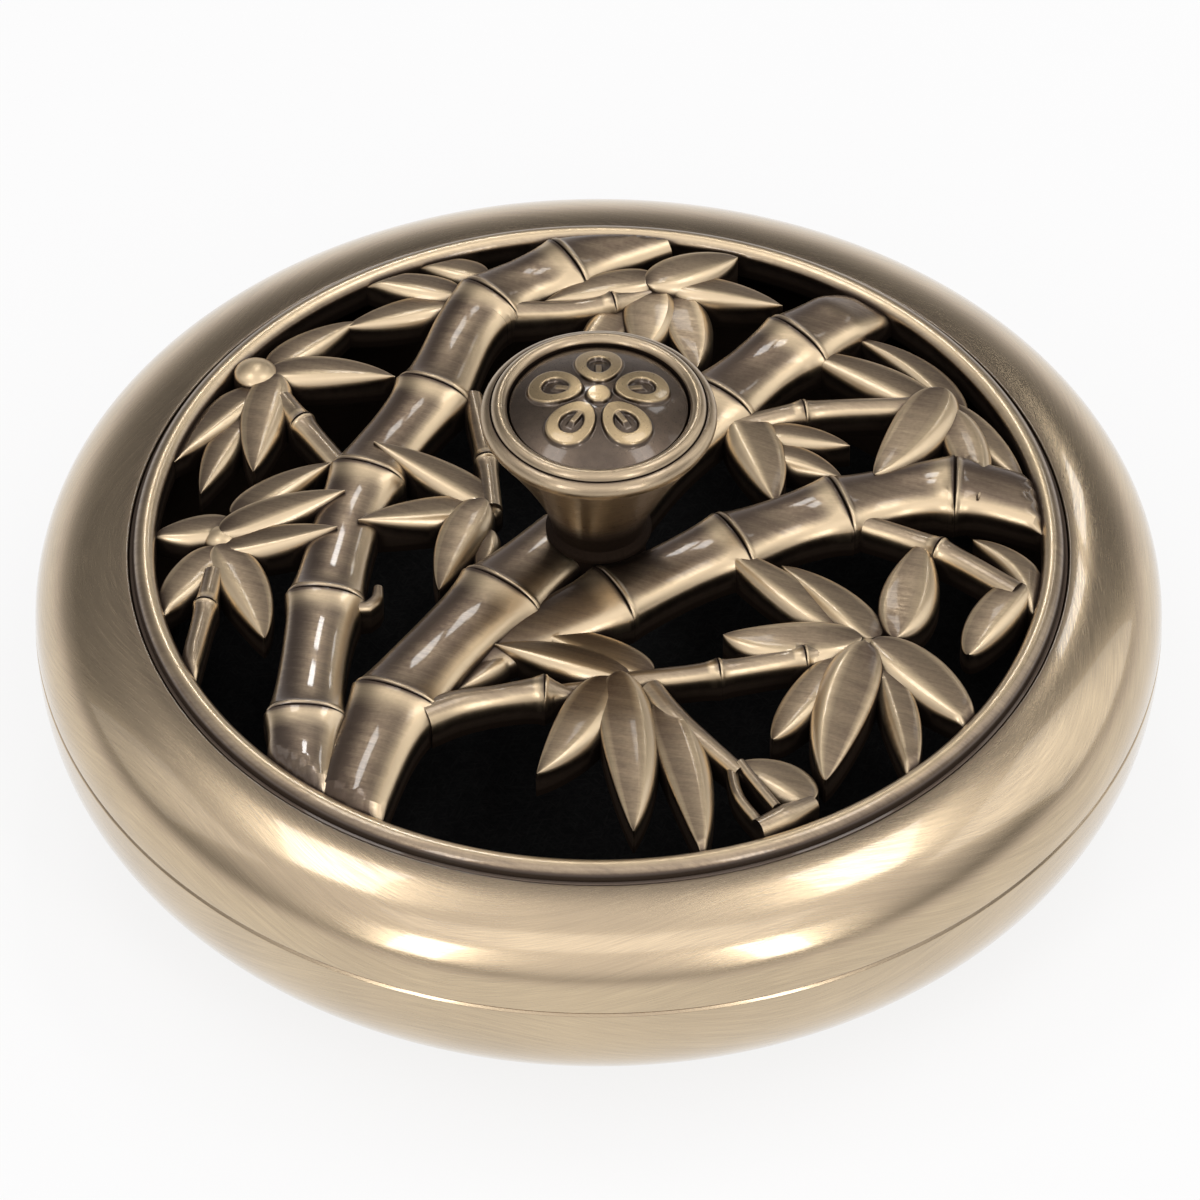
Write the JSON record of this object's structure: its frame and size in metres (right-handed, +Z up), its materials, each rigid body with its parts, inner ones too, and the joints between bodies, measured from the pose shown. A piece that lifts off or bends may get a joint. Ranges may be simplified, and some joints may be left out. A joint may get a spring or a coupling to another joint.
{
  "type": "coil incense burner",
  "caption": "Round low incense burner for coils, with a lid ring that holds a pierced bamboo casting, a turned knob in the middle and a heat-proof mat inside.",
  "frame": {"origin": "centre of the face of the base pad that stands on the table", "axes": "+Z up through the knob; +X to the right and +Y away from the viewer of the picture"},
  "size_m": [0.12, 0.12, 0.0502],
  "materials": {
    "brushed_brass": "antique, finely brushed and lacquered, dark in the grooves",
    "cast_brass": "antique casting, worn bright on its edges, dark in its hollows",
    "dark_brass": "dark brown patina with a worn raised flower",
    "fire_mat": "black needled ceramic fibre felt",
    "base_pad": "matt black foam",
    "screw_steel": "zinc plated"
  },
  "bodies": {
    "base": {"base_bowl": "brushed_brass", "base_pad": "base_pad"},
    "mat": {"fire_mat": "fire_mat"},
    "lid": {"lid_ring": "brushed_brass", "bamboo_casting": "cast_brass", "flange_screws": "screw_steel", "knob_body": "brushed_brass", "knob_medallion": "dark_brass", "knob_screw": "screw_steel", "knob_washer": "screw_steel"}
  },
  "joints": [
    {"name": "lid_lift", "type": "slide", "parent": "base", "child": "lid", "axis": [0, 0, 1], "range_m": [0, 0.07]},
    {"name": "mat_lift", "type": "slide", "parent": "base", "child": "mat", "axis": [0, 0, 1], "range_m": [0, 0.015]}
  ]
}
